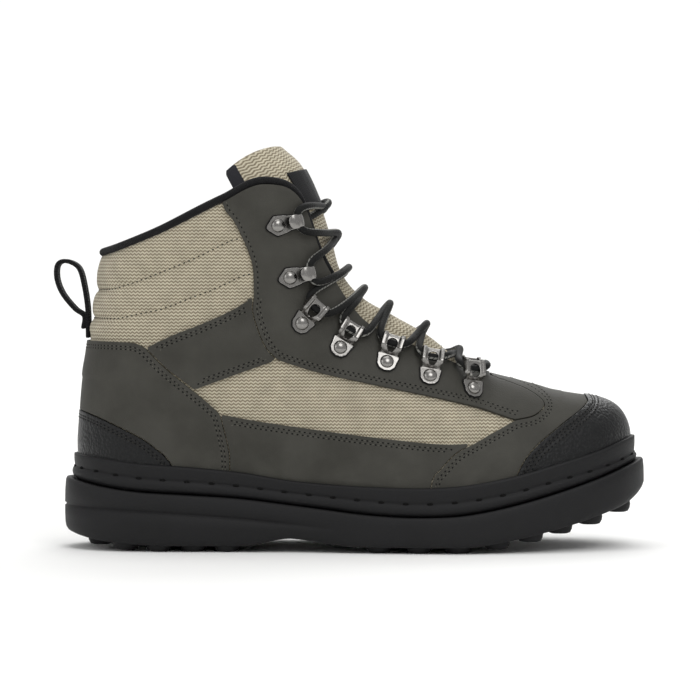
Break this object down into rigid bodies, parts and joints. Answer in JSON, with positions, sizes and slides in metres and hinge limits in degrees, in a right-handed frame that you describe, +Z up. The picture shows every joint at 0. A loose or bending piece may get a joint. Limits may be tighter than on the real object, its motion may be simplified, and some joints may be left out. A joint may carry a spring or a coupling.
{
  "type": "wading boot",
  "caption": "Ankle-high lace-up wading boot for the right foot: padded mesh collar, leather overlays, rubber toe cap and heel counter, thick studded rubber sole",
  "frame": {"origin": "on the floor, below the middle of the boot's box", "axes": "+X from heel to toe, +Y to the inner side of the foot, +Z up"},
  "size_m": [0.3195, 0.1182, 0.2154],
  "materials": {
    "rubber": "matt dark grey rubber, satin on the edges",
    "pebbled_rubber": "black rubberised leather with a fine pebble grain",
    "olive_leather": "grey olive nubuck-like synthetic leather, matt",
    "mesh_cloth": "tan knitted mesh over padding",
    "webbing": "black woven binding and webbing",
    "gunmetal": "dark nickel plate with bright edges",
    "lace_cord": "round braided cord, black with pale tracer threads"
  },
  "bodies": {
    "root": {"outsole": "rubber", "welt": "rubber", "insole": "webbing", "upper": "mesh_cloth", "tongue": "mesh_cloth", "heel_panel": "olive_leather", "heel_counter": "pebbled_rubber", "vamp_panel": "olive_leather", "toe_cap": "pebbled_rubber", "ankle_strap_lateral": "olive_leather", "eyestay_lateral": "olive_leather", "side_band_lateral": "olive_leather", "ankle_strap_medial": "olive_leather", "eyestay_medial": "olive_leather", "side_band_medial": "olive_leather", "collar_binding": "webbing", "pull_loop": "webbing", "lace_hook_lateral_1": "gunmetal", "lace_hook_lateral_2": "gunmetal", "lace_ring_lateral_3": "gunmetal", "lace_ring_lateral_4": "gunmetal", "lace_ring_lateral_5": "gunmetal", "lace_ring_lateral_6": "gunmetal", "lace_ring_lateral_7": "gunmetal", "lace_hook_medial_1": "gunmetal", "lace_hook_medial_2": "gunmetal", "lace_ring_medial_3": "gunmetal", "lace_ring_medial_4": "gunmetal", "lace_ring_medial_5": "gunmetal", "lace_ring_medial_6": "gunmetal", "lace_ring_medial_7": "gunmetal", "lace_crossing_1": "lace_cord", "lace_crossing_2": "lace_cord", "lace_crossing_3": "lace_cord", "lace_crossing_4": "lace_cord", "lace_crossing_5": "lace_cord", "lace_crossing_6": "lace_cord", "lace_bar": "lace_cord", "lace_ends": "lace_cord"}
  },
  "joints": []
}
